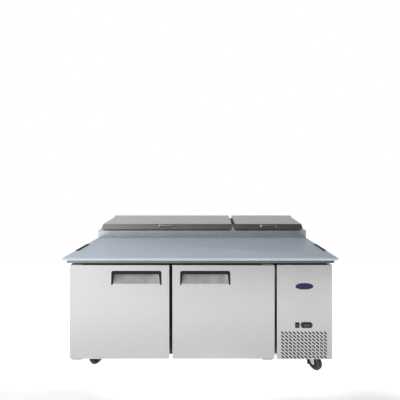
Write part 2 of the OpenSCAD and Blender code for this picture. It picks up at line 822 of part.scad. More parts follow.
module refrigerant_lines() {
    comp_y = inner_y - 200;
    comp_z = body_z + frame_th + 100;
    hole = [partition_x, liner_y1 - 40, liner_z1 - 60];
    color([0.72, 0.42, 0.28]) {
        pipe([[panel_mid - 78, comp_y, comp_z], [panel_mid - 130, comp_y, comp_z],
              [panel_mid - 130, comp_y, hole[2]], [panel_mid - 130, hole[1], hole[2]],
              [evap_x0 + evap_w - 48, hole[1], hole[2]]], 5);
        pipe([[panel_mid + 78, comp_y, comp_z], [panel_mid + 120, comp_y, comp_z],
              [panel_mid + 120, comp_y, coil_z + coil_h + 30],
              [panel_mid + 120, coil_y + coil_th / 2, coil_z + coil_h + 30],
              [panel_mid + 120, coil_y + coil_th / 2, coil_z + coil_h]], 4);
    }
}

module cord_gland() {
    color(dark) translate([partition_x + 17, back_y, body_z + 30]) rotate([90, 0, 0]) difference() {
        union() {
            cylinder(h = 14, r = 8.5);
            translate([0, 0, sheet]) cylinder(h = 3, r = 13);
        }
        translate([0, 0, -1]) cylinder(h = 20, r = 4.5);
    }
}

// ---- casters ----

module caster_plates() {
    bolt_r = 4;
    color(steel) for (x = [-stem_x, stem_x], y = [stem_front_y, stem_rear_y]) translate([x, y, body_z]) {
        difference() {
            translate([0, 0, -plate_th]) linear_extrude(plate_th) rounded(plate_w, plate_l, 6);
            translate([0, 0, -plate_th - eps]) cylinder(h = plate_th + 2 * eps, r = 6.05);
        }
        for (sx = [-1, 1], sy = [-1, 1]) translate([sx * 24, sy * 36, -plate_th - 5])
            cylinder(h = 5 + eps, r = 6.5, $fn = 6);
    }
}

// Fork at the origin's swivel, with the wheel along -Y and room for a pedal where it has a brake
module fork(braked) {
    half_in = wheel_w / 2 + fork_gap;
    head_z = wheel_r * 2 + 9;
    top = caster_h - plate_th - 1;
    for (s = [-1, 1]) translate([s * (half_in + fork_th / 2), 0, 0])
        side_extrude(-fork_th / 2, fork_th / 2) {
            translate([-caster_trail, wheel_r]) circle(13);
            polygon([[-caster_trail - 12.5, wheel_r + 3], [-caster_trail + 10, wheel_r - 8],
                     [26, head_z - 6], [26, head_z], [-34, head_z]]);
        }
    block([-half_in - fork_th, -34, head_z - 3], [half_in + fork_th, 26, head_z]);
    translate([0, 0, head_z - eps]) cylinder(h = top - head_z + eps, r = 26);
    translate([0, 0, top - eps]) cylinder(h = plate_th + 2, r = 6);
    if (braked) {
        for (s = [-1, 1]) translate([s * 11.2, 0, 0])
            block([-1.5, 20, head_z - 12], [1.5, brake_y + 5, head_z]);
        translate([-12, brake_y, head_z + brake_drop]) rotate([0, 90, 0]) cylinder(h = 24, r = brake_pin_r);
    }
    translate([-half_in - fork_th - 6, -caster_trail, wheel_r])
        rotate([0, 90, 0]) cylinder(h = 2 * (half_in + fork_th + 6), r = axle_r);
    for (s = [-1, 1]) translate([s * (half_in + fork_th + 3), -caster_trail, wheel_r])
        rotate([0, 90, 0]) cylinder(h = 5, r = 8, center = true, $fn = 6);
}

module wheel() {
    hub_r = wheel_r * 0.55;
    round_r = 5;
    translate([0, -caster_trail, wheel_r]) rotate([0, 90, 0]) rotate_extrude($fn = 96) difference() {
        union() {
            translate([axle_r + pin_gap, -wheel_w / 2 + round_r])
                square([wheel_r - axle_r - pin_gap, wheel_w - 2 * round_r]);
            translate([hub_r, -wheel_w / 2]) square([wheel_r - hub_r - round_r, wheel_w]);
            translate([axle_r + pin_gap, -wheel_w / 2 - 1.5]) square([7, wheel_w + 3]);
            for (s = [-1, 1]) translate([wheel_r - round_r, s * (wheel_w / 2 - round_r)]) circle(round_r);
        }
        translate([hub_r * 1.2, wheel_w / 2 - 3]) square([3, 4]);
    }
}

module at_caster(x, y, yaw) {
    translate([x, y, 0]) rotate(yaw) children();
}

// Pedal behind the swivel, with an arm that runs down beside the wheel to a foot tab
module brake_pedal() {
    head_z = wheel_r * 2 + 9;
    arm_x = wheel_w / 2 + 14;
    arm_th = 3;
    tab_w = 14;
    difference() {
        union() {
            side_extrude(-9, 9) polygon([
                [27, head_z - 17], [27, head_z - 2], [34, head_z + 2], [48, head_z - 8],
                [54, head_z - 17], [50, head_z - 18], [43, head_z - 12], [36, head_z - 17]
            ]);
            block([-arm_x - arm_th, 28, head_z - 21], [9, 31, head_z - 15]);
            side_extrude(-arm_x - arm_th, -arm_x) polygon([
                [34, head_z - 13], [27, head_z - 13], [-14, head_z - 66],
                [-14, head_z - 74], [-4, head_z - 74], [34, head_z - 24]
            ]);
            block([-arm_x - tab_w, -14, head_z - 74], [-arm_x, -4, head_z - 70]);
        }
        translate([-12, brake_y, head_z + brake_drop])
            rotate([0, 90, 0]) cylinder(h = 24, r = brake_pin_r + pin_gap);
    }
}

module front_left_fork() { color(grey) at_caster(-stem_x, stem_front_y, front_left_yaw) fork(true); }
module front_left_wheel() { color(dark) at_caster(-stem_x, stem_front_y, front_left_yaw) wheel(); }
module front_right_fork() { color(grey) at_caster(stem_x, stem_front_y, front_right_yaw) fork(true); }
module front_right_wheel() { color(dark) at_caster(stem_x, stem_front_y, front_right_yaw) wheel(); }
module rear_left_fork() { color(grey) at_caster(-stem_x, stem_rear_y, rear_left_yaw) fork(false); }
module rear_left_wheel() { color(dark) at_caster(-stem_x, stem_rear_y, rear_left_yaw) wheel(); }
module rear_right_fork() { color(grey) at_caster(stem_x, stem_rear_y, rear_right_yaw) fork(false); }
module rear_right_wheel() { color(dark) at_caster(stem_x, stem_rear_y, rear_right_yaw) wheel(); }
module front_left_brake() { color(dark) at_caster(-stem_x, stem_front_y, front_left_yaw) brake_pedal(); }
module front_right_brake() { color(dark) at_caster(stem_x, stem_front_y, front_right_yaw) brake_pedal(); }

side_panels();
back_panel();
bottom_panel();
cabinet_liner();
insulation();
front_frame();
machine_partition();
countertop();
rail_housing();
rail_deck();
rail_well();
pan_bars();
pans();
board_grips();
lid_hinge_ears();
door_hinge_plates();
machine_panel();
badge();
switch_bezel();
controller_case();
shelf_posts();
shelves();
evaporator_coil();
evaporator_cover();
evaporator_fan();
compressor();
condenser_coil();
fan_shroud();
condenser_fan();
refrigerant_lines();
cord_gland();
caster_plates();
cutting_board();
door_left_skin();
door_left_liner();
door_left_gasket();
door_left_handle();
door_right_skin();
door_right_liner();
door_right_gasket();
door_right_handle();
lid_left_skin();
lid_left_liner();
lid_left_handle();
lid_right_skin();
lid_right_liner();
lid_right_handle();
switch_rocker();
controller_set_button();
controller_light_button();
front_left_fork();
front_left_wheel();
front_right_fork();
front_right_wheel();
rear_left_fork();
rear_left_wheel();
rear_right_fork();
rear_right_wheel();
front_left_brake();
front_right_brake();
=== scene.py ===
"""Two-door refrigerated prep table: the finished surfaces and materials around the CAD frame."""
import json

import bmesh
import bpy
import numpy as np
from bpy.props import FloatProperty, FloatVectorProperty, IntProperty, PointerProperty
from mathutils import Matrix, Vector


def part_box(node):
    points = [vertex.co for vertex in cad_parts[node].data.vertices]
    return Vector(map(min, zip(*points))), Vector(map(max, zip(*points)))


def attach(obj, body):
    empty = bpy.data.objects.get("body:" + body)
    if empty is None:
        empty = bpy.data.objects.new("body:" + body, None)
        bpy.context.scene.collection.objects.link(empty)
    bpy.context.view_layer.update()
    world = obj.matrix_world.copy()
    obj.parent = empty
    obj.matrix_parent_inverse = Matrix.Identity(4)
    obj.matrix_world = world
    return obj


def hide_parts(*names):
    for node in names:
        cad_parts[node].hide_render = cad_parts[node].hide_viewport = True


bl_info = {
    "name": "Refrigerated Prep Table",
    "version": (1, 0, 0),
    "blender": (4, 5, 0),
    "location": "View3D > Sidebar > Prep Table",
    "description": "Finished surfaces, materials and studio for a two-door prep table",
    "category": "Object",
}

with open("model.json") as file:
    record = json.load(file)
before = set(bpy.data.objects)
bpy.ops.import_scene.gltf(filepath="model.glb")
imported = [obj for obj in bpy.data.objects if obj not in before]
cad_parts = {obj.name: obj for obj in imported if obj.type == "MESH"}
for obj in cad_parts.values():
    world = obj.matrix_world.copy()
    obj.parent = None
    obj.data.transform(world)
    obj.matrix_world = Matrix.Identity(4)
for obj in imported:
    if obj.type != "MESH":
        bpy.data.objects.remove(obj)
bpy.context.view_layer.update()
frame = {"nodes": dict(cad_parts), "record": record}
SIDES = ("left", "right")
CASTERS = ("front_left", "front_right", "rear_left", "rear_right")


# ---- shared geometry ----

def corners(node):
    """A CAD node's lowest and highest corner as arrays."""
    low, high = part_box(node)
    return np.array(low, float), np.array(high, float)


def joint_of(child):
    """The joint that carries a body."""
    return next(j for j in frame["record"]["behaviour"]["joints"] if j["child"] == child)


def grid_faces(rows, columns, wrap_rows=False, wrap_columns=False):
    """Quads of a grid of points numbered row by row; a wrapped direction joins its end to its start."""
    i = np.arange(rows if wrap_rows else rows - 1)[:, None]
    j = np.arange(columns if wrap_columns else columns - 1)[None, :]
    i2 = (i + 1) % rows
    j2 = (j + 1) % columns
    quads = np.stack([i * columns + j, i * columns + j2, i2 * columns + j2, i2 * columns + j], axis=-1)
    return [tuple(q) for q in quads.reshape(-1, 4).tolist()]


def loft(rings, caps=True, wrap_rows=False):
    """A skin over closed rings (m, n, 3), with a flat face across the first and the last ring."""
    rows, columns = rings.shape[:2]
    faces = grid_faces(rows, columns, wrap_rows, True)
    if caps:
        faces.append(tuple(range(columns)))
        faces.append(tuple(range((rows - 1) * columns, rows * columns)))
    return rings.reshape(-1, 3), faces


def patch(points):
    """An open sheet over a grid of points (m, n, 3)."""
    rows, columns = points.shape[:2]
    return points.reshape(-1, 3), grid_faces(rows, columns)


def rounded_rectangle(middle, half, radius, steps=7):
    """Four quarter circles of one radius about the corners' centres, anticlockwise from the right."""
    turn = np.arange(4)[:, None] * np.pi / 2 + np.linspace(0, np.pi / 2, steps)
    side = np.array([[1, 1], [-1, 1], [-1, -1], [1, -1]], float)[:, None, :]
    arc = radius * np.stack([np.cos(turn), np.sin(turn)], axis=-1)
    return (np.array(middle) + side * (np.array(half) - radius) + arc).reshape(-1, 2)


def ring_at(outline, depth, axis):
    """A flat outline placed at a depth along an axis; the other two axes keep their order."""
    return np.insert(outline, axis, depth, axis=1)


def soft_box(low, high, edge, corner=None, axis=1, steps=5):
    """A box whose edges are quarter circles: inset = edge (1 - sin a) at depth edge (1 - cos a)."""
    low = np.array(low, float)
    high = np.array(high, float)
    others = [k for k in range(3) if k != axis]
    middle = (low + high)[others] / 2
    half = (high - low)[others] / 2
    corner = edge if corner is None else corner
    angle = np.linspace(0, np.pi / 2, steps)
    inset = edge * (1 - np.sin(angle))
    depth = edge * (1 - np.cos(angle))
    places = [(low[axis] + d, s) for d, s in zip(depth, inset)]
    places += [(high[axis] - d, s) for d, s in zip(depth[::-1], inset[::-1])]
    rings = [ring_at(rounded_rectangle(middle, half - s, max(corner - s, corner * 0.15)), d, axis)
             for d, s in places]
    return loft(np.array(rings))


def frame_of(direction):
    """Two unit vectors square to a direction and to each other."""
    direction = np.array(direction, float) / np.linalg.norm(direction)
    helper = np.array([0, 0, 1.0]) if abs(direction[2]) < 0.9 else np.array([1.0, 0, 0])
    first = np.cross(helper, direction)
    first /= np.linalg.norm(first)
    return first, np.cross(direction, first)


def revolve(profile, centre, axis, steps=64, closed=False):
    """A profile (radius, distance) turned about an axis: c + axis d + r (u cos t + v sin t)."""
    profile = np.array(profile, float)
    axis = np.array(axis, float) / np.linalg.norm(axis)
    u, v = frame_of(axis)
    turn = np.linspace(0, 2 * np.pi, steps, endpoint=False)[None, :, None]
    radius = profile[:, 0][:, None, None]
    along = profile[:, 1][:, None, None]
    rings = np.array(centre) + axis * along + radius * (u * np.cos(turn) + v * np.sin(turn))
    return loft(rings, caps=not closed, wrap_rows=closed)


def join(parts):
    """Several (points, faces) pairs as one."""
    points = []
    faces = []
    count = 0
    for verts, quads in parts:
        points.append(np.asarray(verts))
        faces += [tuple(k + count for k in f) for f in quads]
        count += len(verts)
    return np.concatenate(points), faces


def add_piece(name, shape, material, body, smooth=35.0, outward=True):
    """Makes the mesh object, turns its faces outwards, and gives it its material and body."""
    points, faces = shape
    mesh = bpy.data.meshes.new(name)
    mesh.from_pydata(points.tolist(), [], faces)
    if outward:
        work = bmesh.new()
        work.from_mesh(mesh)
        bmesh.ops.remove_doubles(work, verts=work.verts, dist=1e-6)
        bmesh.ops.recalc_face_normals(work, faces=work.faces)
        work.to_mesh(mesh)
        work.free()
    mesh.shade_smooth()
    mesh.set_sharp_from_angle(angle=np.radians(smooth))
    piece = bpy.data.objects.new(name, mesh)
    bpy.context.collection.objects.link(piece)
    mesh.materials.append(material)
    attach(piece, body)
    return piece


# ---- materials ----

class Tree:
    """Short calls for building any node tree."""

    def __init__(self, tree):
        """Keeps the tree that the calls add to."""
        self.tree = tree

    def link(self, out, into):
        """Joins an output to an input."""
        self.tree.links.new(out, into)

    def maths(self, operation, *values):
        """One arithmetic node on sockets or numbers."""
        node = self.tree.nodes.new("ShaderNodeMath")
        node.operation = operation
        for slot, value in zip(node.inputs, values):
            if isinstance(value, (int, float)):
                slot.default_value = value
            else:
                self.link(value, slot)
        return node.outputs[0]

    def split(self, vector):
        """The three parts of a vector."""
        node = self.tree.nodes.new("ShaderNodeSeparateXYZ")
        self.link(vector, node.inputs[0])
        return node.outputs

    def ramp(self, value, stops):
        """Straight lines between (position, colour) stops, the first and the last held beyond."""
        node = self.tree.nodes.new("ShaderNodeValToRGB")
        elements = node.color_ramp.elements
        first, *inner, last = stops
        for element, (position, colour) in zip(elements, (first, last)):
            element.position = position
            element.color = (*colour, 1)
        for position, colour in inner:
            elements.new(position).color = (*colour, 1)
        self.link(value, node.inputs["Fac"])
        return node.outputs["Color"]


class Nodes(Tree):
    """Short calls for building one material."""

    def __init__(self, name):
        """Starts a material on Object coordinates."""
        self.material = bpy.data.materials.new(name)
        self.material.use_nodes = True
        super().__init__(self.material.node_tree)
        self.shader = self.tree.nodes["Principled BSDF"]
        place = self.tree.nodes.new("ShaderNodeTexCoord")
        self.place = place.outputs["Object"]

    def noise(self, scale, detail=4.0, stretch=(1, 1, 1), rough=0.55):
        """Fractal noise on Object coordinates, stretched along the axes."""
        mapping = self.tree.nodes.new("ShaderNodeMapping")
        mapping.inputs["Scale"].default_value = stretch
        self.link(self.place, mapping.inputs["Vector"])
        noise = self.tree.nodes.new("ShaderNodeTexNoise")
        noise.inputs["Scale"].default_value = scale
        noise.inputs["Detail"].default_value = detail
        noise.inputs["Roughness"].default_value = rough
        self.link(mapping.outputs["Vector"], noise.inputs["Vector"])
        return noise.outputs["Fac"]

    def span(self, value, low, high, from_low=0.3, from_high=0.7):
        """A value moved from one range to another."""
        node = self.tree.nodes.new("ShaderNodeMapRange")
        node.inputs["From Min"].default_value = from_low
        node.inputs["From Max"].default_value = from_high
        node.inputs["To Min"].default_value = low
        node.inputs["To Max"].default_value = high
        self.link(value, node.inputs["Value"])
        return node.outputs["Result"]

    def between(self, factor, first, second):
        """A colour between two others."""
        node = self.tree.nodes.new("ShaderNodeMix")
        node.data_type = "RGBA"
        node.inputs["A"].default_value = (*first, 1)
        node.inputs["B"].default_value = (*second, 1)
        node.clamp_factor = True
        self.link(factor, node.inputs["Factor"])
        return node.outputs["Result"]

    def bump(self, heights, edge=0.0):
        """Bumps (value, distance) stacked on each other, over rounded edges of a given radius."""
        before = None
        if edge > 0:
            bevel = self.tree.nodes.new("ShaderNodeBevel")
            bevel.samples = 4
            bevel.inputs["Radius"].default_value = edge
            before = bevel.outputs["Normal"]
        for value, distance in heights:
            node = self.tree.nodes.new("ShaderNodeBump")
            node.inputs["Strength"].default_value = 1.0
            node.inputs["Distance"].default_value = distance
            self.link(value, node.inputs["Height"])
            if before is not None:
                self.link(before, node.inputs["Normal"])
            before = node.outputs["Normal"]
        if before is not None:
            self.link(before, self.shader.inputs["Normal"])

    def set(self, **values):
        """Sets the shader's own sockets by name."""
        for key, value in values.items():
            self.shader.inputs[key.replace("_", " ")].default_value = value


def scaled(colour, k):
    """A colour made lighter or darker."""
    return tuple(min(1.0, c * k) for c in colour)


MATERIALS = {}


def brushed_steel(name, colour, grain, roughness=0.3, contrast=0.06, edge=0.0):
    """Stainless sheet: fine lines along the brushing, slow clouding, and faint handling marks."""
    n = Nodes(name)
    lines = n.noise(1.0, 3.0, grain)
    clouds = n.noise(2.6, 3.0)
    marks = n.noise(11.0, 6.0, (1, 1, 0.6), 0.7)
    tone = n.between(n.span(lines, 0, 1), scaled(colour, 1 - contrast), scaled(colour, 1 + contrast))
    n.link(tone, n.shader.inputs["Base Color"])
    rough = n.maths("ADD", n.span(lines, roughness - 0.05, roughness + 0.05),
                    n.span(marks, -0.03, 0.06, 0.35, 0.8))
    n.link(rough, n.shader.inputs["Roughness"])
    n.bump([(clouds, 0.0006), (lines, 0.00002)], edge)
    n.set(Metallic=1.0)
    return n.material


def moulded_plastic(name, colour, roughness=0.45, grain=900.0, edge=0.0, coat=0.0):
    """Moulded plastic: a fine spark-eroded texture and slightly uneven gloss."""
    n = Nodes(name)
    fine = n.noise(grain, 2.0)
    broad = n.noise(18.0, 3.0)
    n.link(n.between(n.span(broad, 0, 1), scaled(colour, 0.85), scaled(colour, 1.15)),
           n.shader.inputs["Base Color"])
    n.link(n.span(broad, roughness - 0.07, roughness + 0.07), n.shader.inputs["Roughness"])
    n.bump([(fine, 0.00003)], edge)
    n.set(Coat_Weight=coat, Specular_IOR_Level=0.3)
    return n.material


def board_plastic(name, colour):
    """Cutting-board polyethylene: waxy sheen, a milled texture and faint knife scores."""
    n = Nodes(name)
    milled = n.noise(420.0, 2.0)
    scores = n.noise(1.0, 5.0, (9, 260, 40), 0.65)
    broad = n.noise(3.0, 3.0)
    tone = n.between(n.span(broad, 0, 1), scaled(colour, 0.96), scaled(colour, 1.03))
    n.link(tone, n.shader.inputs["Base Color"])
    n.link(n.span(scores, 0.30, 0.46), n.shader.inputs["Roughness"])
    n.bump([(milled, 0.00005), (scores, 0.00004)])
    n.set(Subsurface_Weight=0.05, Subsurface_Radius=(0.004, 0.004, 0.005))
    return n.material


def rubber(name, colour, roughness=0.75):
    """Soft rubber with dust in its pores."""
    n = Nodes(name)
    pores = n.noise(650.0, 3.0)
    dust = n.noise(26.0, 5.0, rough=0.7)
    n.link(n.between(n.span(dust, 0, 1, 0.45, 0.8), colour, scaled(colour, 2.2)),
           n.shader.inputs["Base Color"])
    n.link(n.span(pores, roughness - 0.1, roughness + 0.08), n.shader.inputs["Roughness"])
    n.bump([(pores, 0.00008)])
    return n.material


def zinc_plate(name, colour):
    """Zinc-plated pressed steel: crystalline clouding and a few rubbed patches."""
    n = Nodes(name)
    cells = n.noise(55.0, 4.0, rough=0.7)
    fine = n.noise(500.0, 2.0)
    n.link(n.between(n.span(cells, 0, 1), scaled(colour, 0.8), scaled(colour, 1.15)),
           n.shader.inputs["Base Color"])
    n.link(n.span(cells, 0.34, 0.55), n.shader.inputs["Roughness"])
    n.bump([(fine, 0.00003)], 0.0008)
    n.set(Metallic=0.85)
    return n.material


def foam(name, colour):
    """Blown foam: small open cells."""
    n = Nodes(name)
    cells = n.noise(240.0, 5.0, rough=0.75)
    n.link(n.between(n.span(cells, 0, 1), scaled(colour, 0.7), colour), n.shader.inputs["Base Color"])
    n.link(n.span(cells, 0.8, 0.95), n.shader.inputs["Roughness"])
    n.bump([(cells, 0.0008)])
    return n.material


def tinted_glass(name, colour):
    """Dark display window: a smooth coat over a cloudy tint."""
    n = Nodes(name)
    broad = n.noise(60.0, 2.0)
    n.link(n.between(n.span(broad, 0, 1), colour, scaled(colour, 1.6)), n.shader.inputs["Base Color"])
    n.link(n.span(broad, 0.06, 0.12), n.shader.inputs["Roughness"])
    n.set(Coat_Weight=0.8)
    return n.material


def make_materials(look):
    """Every finish on the object, by a maker's name."""
    along_x = (6, 900, 900)
    along_z = (900, 900, 6)
    steel = tuple(look.steel)
    black = tuple(look.black)
    MATERIALS.update({
        "door_steel": brushed_steel("door_steel", steel, along_z, 0.34, 0.035),
        "body_steel": brushed_steel("body_steel", scaled(steel, 0.92), along_z, 0.33, 0.04, 0.0012),
        "top_steel": brushed_steel("top_steel", scaled(steel, 0.93), along_x, 0.28, 0.05, 0.0015),
        # Painted shade: the apron's steel is darkened to 0.37 to stand for the shade and dark reflection
        # under the board's overhang.
        "apron_steel_painted_shade": brushed_steel("apron_steel_painted_shade", scaled(steel, 0.37), along_x, 0.14, 0.04, 0.0012),
        "lid_steel": brushed_steel("lid_steel", scaled(steel, 0.9), along_x, 0.24, 0.05, 0.0018),
        "liner_steel": brushed_steel("liner_steel", scaled(steel, 1.04), along_x, 0.42, 0.03, 0.002),
        "pan_steel": brushed_steel("pan_steel", scaled(steel, 1.08), (300, 300, 20), 0.22, 0.03, 0.001),
        "pull_steel": brushed_steel("pull_steel", scaled(steel, 1.1), along_x, 0.25, 0.03),
        "chrome_wire": brushed_steel("chrome_wire", scaled(steel, 1.15), (60, 60, 60), 0.14, 0.02),
        "fin_metal": brushed_steel("fin_metal", scaled(steel, 1.05), (40, 400, 40), 0.45, 0.08),
        "dark_fins": brushed_steel("dark_fins", scaled(steel, 0.12), (40, 400, 40), 0.5, 0.08),
        "copper": brushed_steel("copper", (0.65, 0.32, 0.2), (50, 50, 50), 0.32, 0.12),
        "black_plastic": moulded_plastic("black_plastic", scaled(black, 0.8), 0.5, edge=0.0008),
        "frame_black": moulded_plastic("frame_black", scaled(black, 0.7), 0.5, edge=0.001),
        "grip_grey": moulded_plastic("grip_grey", tuple(look.grip_grey), 0.4),
        "control_black": moulded_plastic("control_black", scaled(black, 0.7), 0.42, 1400.0, 0.0006, 0.1),
        "badge_blue": moulded_plastic("badge_blue", tuple(look.badge), 0.4, 1500.0, 0, 0.15),
        "rocker_green": moulded_plastic("rocker_green", (0.012, 0.05, 0.03), 0.25, 1500.0, 0, 0.4),
        "button_grey": moulded_plastic("button_grey", (0.10, 0.107, 0.12), 0.4),
        "compressor_black": moulded_plastic("compressor_black", black, 0.35, 300.0, 0.002),
        "board_plastic": board_plastic("board_plastic", tuple(look.board)),
        "gasket_rubber": rubber("gasket_rubber", (0.035, 0.035, 0.038), 0.6),
        "wheel_rubber": rubber("wheel_rubber", (0.014, 0.014, 0.015), 0.62),
        "hub_plastic": moulded_plastic("hub_plastic", (0.022, 0.023, 0.026), 0.5),
        "zinc_plate": zinc_plate("zinc_plate", tuple(look.zinc)),
        # Painted shade: the hinge plates take the plated zinc darkened to 0.35, for the shade under and
        # beside the doors.
        "hinge_zinc_painted_shade": zinc_plate("hinge_zinc_painted_shade", scaled(tuple(look.zinc), 0.35)),
        "grip_rubber": rubber("grip_rubber", (0.012, 0.0125, 0.014), 0.6),
        "foam": foam("foam", (0.7, 0.6, 0.33)),
        "tinted_glass": tinted_glass("tinted_glass", (0.006, 0.008, 0.008)),
    })


NODE_FINISH = {
    "side_panels": "body_steel", "back_panel": "body_steel", "bottom_panel": "body_steel",
    "front_frame": "frame_black", "machine_partition": "body_steel", "machine_panel": "door_steel",
    # The countertop's apron takes the steel darkened as painted shade.
    "countertop": "apron_steel_painted_shade", "rail_housing": "top_steel", "rail_deck": "top_steel",
    "rail_well": "liner_steel", "cabinet_liner": "liner_steel", "evaporator_cover": "liner_steel",
    "pan_bars": "top_steel", "pans": "pan_steel", "insulation": "foam", "cutting_board": "board_plastic",
    "board_grips": "grip_rubber", "lid_hinge_ears": "black_plastic", "cord_gland": "black_plastic",
    # The door hinge plates take the zinc darkened as painted shade.
    "door_hinge_plates": "hinge_zinc_painted_shade", "switch_bezel": "control_black", "controller_case": "control_black",
    "controller_set_button": "button_grey", "controller_light_button": "button_grey",
    "switch_rocker": "rocker_green", "badge": "badge_blue", "shelf_posts": "liner_steel",
    "shelves": "chrome_wire", "evaporator_coil": "fin_metal", "condenser_coil": "dark_fins",
    "evaporator_fan": "black_plastic", "condenser_fan": "black_plastic", "fan_shroud": "frame_black",
    "compressor": "compressor_black", "refrigerant_lines": "copper", "caster_plates": "zinc_plate",
}
for side_name in SIDES:
    NODE_FINISH[f"door_{side_name}_skin"] = "door_steel"
    NODE_FINISH[f"door_{side_name}_liner"] = "liner_steel"
    NODE_FINISH[f"door_{side_name}_gasket"] = "gasket_rubber"
    NODE_FINISH[f"door_{side_name}_handle"] = "black_plastic"
    NODE_FINISH[f"lid_{side_name}_skin"] = "lid_steel"
    NODE_FINISH[f"lid_{side_name}_liner"] = "liner_steel"
    NODE_FINISH[f"lid_{side_name}_handle"] = "pull_steel"
    NODE_FINISH[f"front_{side_name}_brake"] = "black_plastic"
for caster_name in CASTERS:
    NODE_FINISH[f"{caster_name}_fork"] = "zinc_plate"
    NODE_FINISH[f"{caster_name}_wheel"] = "wheel_rubber"


# ---- settings ----

class PrepTableLook(bpy.types.PropertyGroup):
    """Sizes and colours a user would change."""
    door_edge: FloatProperty(name="Door edge", description="Radius of the folded door edges",
                             default=0.003, unit="LENGTH")
    board_edge: FloatProperty(name="Board edge", description="Radius of the cutting board's edges",
                              default=0.0025, unit="LENGTH")
    trim_dome: FloatProperty(name="Grip trim height", description="How far the grip's trim stands proud",
                             default=0.003, unit="LENGTH")
    tread_grooves: IntProperty(name="Tread rings", description="Rings moulded round each wheel",
                               default=2)
    steel: FloatVectorProperty(name="Steel", description="Colour of the stainless sheet",
                               subtype="COLOR", default=(0.62, 0.625, 0.63))
    board: FloatVectorProperty(name="Board", description="Colour of the cutting board",
                               subtype="COLOR", default=(0.47, 0.54, 0.635))
    black: FloatVectorProperty(name="Black plastic", description="Colour of the black mouldings",
                               subtype="COLOR", default=(0.008, 0.0085, 0.0085))
    grip_grey: FloatVectorProperty(name="Grip grey", description="Colour of the grip's scoop",
                                   subtype="COLOR", default=(0.30, 0.31, 0.31))
    badge: FloatVectorProperty(name="Badge", description="Colour of the oval badge",
                               subtype="COLOR", default=(0.014, 0.012, 0.062))
    zinc: FloatVectorProperty(name="Zinc", description="Colour of the plated caster parts",
                              subtype="COLOR", default=(0.55, 0.58, 0.57))


class PrepTableStudio(bpy.types.PropertyGroup):
    """The light and the camera."""
    lens: FloatProperty(name="Lens", description="Focal length in millimetres", default=21.15,
                        subtype="DISTANCE_CAMERA")
    camera_height: FloatProperty(name="Camera height", description="Height of the camera",
                                 default=1.329, unit="LENGTH")
    camera_back: FloatProperty(name="Camera distance", description="Camera's distance from the middle",
                               default=1.867, unit="LENGTH")
    camera_side: FloatProperty(name="Camera side", description="Camera's place to the right",
                               default=0.0456, unit="LENGTH")
    key_power: FloatProperty(name="Key light", description="Power of the large soft light",
                             default=60.0, unit="POWER")


def settings():
    """The add-on's settings on the current scene."""
    return bpy.context.scene.prep_table_look


# ---- operators ----

class PREPTABLE_OT_finishes(bpy.types.Operator):
    """Makes the materials and gives each CAD node its own"""
    bl_idname = "preptable.finishes"
    bl_label = "Finishes"

    def execute(self, context):
        make_materials(settings())
        for node, obj in frame["nodes"].items():
            obj.data.materials.clear()
            obj.data.materials.append(MATERIALS[NODE_FINISH[node]])
        return {"FINISHED"}


class PREPTABLE_OT_doors(bpy.types.Operator):
    """Door skins: rounded rectangles carried round the folded edge and in to the grip's cut-out"""
    bl_idname = "preptable.doors"
    bl_label = "Door Skins"

    def execute(self, context):
        edge = settings().door_edge
        hem = 0.012
        grip_lap = 0.007
        angle = np.linspace(0, np.pi / 2, 6)
        for side in SIDES:
            low, high = corners(f"door_{side}_skin")
            grip_low, grip_high = corners(f"door_{side}_handle")
            middle = (low + high)[[0, 2]] / 2
            half = (high - low)[[0, 2]] / 2
            hole_middle = (grip_low + grip_high)[[0, 2]] / 2
            hole_half = (grip_high - grip_low)[[0, 2]] / 2 - grip_lap
            rings = [ring_at(rounded_rectangle(middle, half - hem, edge), high[1], 1),
                     ring_at(rounded_rectangle(middle, half, edge), high[1], 1)]
            rings += [ring_at(rounded_rectangle(middle, half - edge * (1 - np.cos(a)), edge),
                              low[1] + edge * (1 - np.sin(a)), 1) for a in angle]
            rings.append(ring_at(rounded_rectangle(middle, half - edge * 1.5, edge), low[1], 1))
            rings.append(ring_at(rounded_rectangle(hole_middle, hole_half, edge), low[1], 1))
            rings.append(ring_at(rounded_rectangle(hole_middle, hole_half, edge), low[1] + 0.003, 1))
            skin = add_piece(f"door_{side}_outer_skin", loft(np.array(rings), caps=False),
                             MATERIALS["door_steel"], f"door_{side}")
            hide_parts(f"door_{side}_skin")
        return {"FINISHED"}


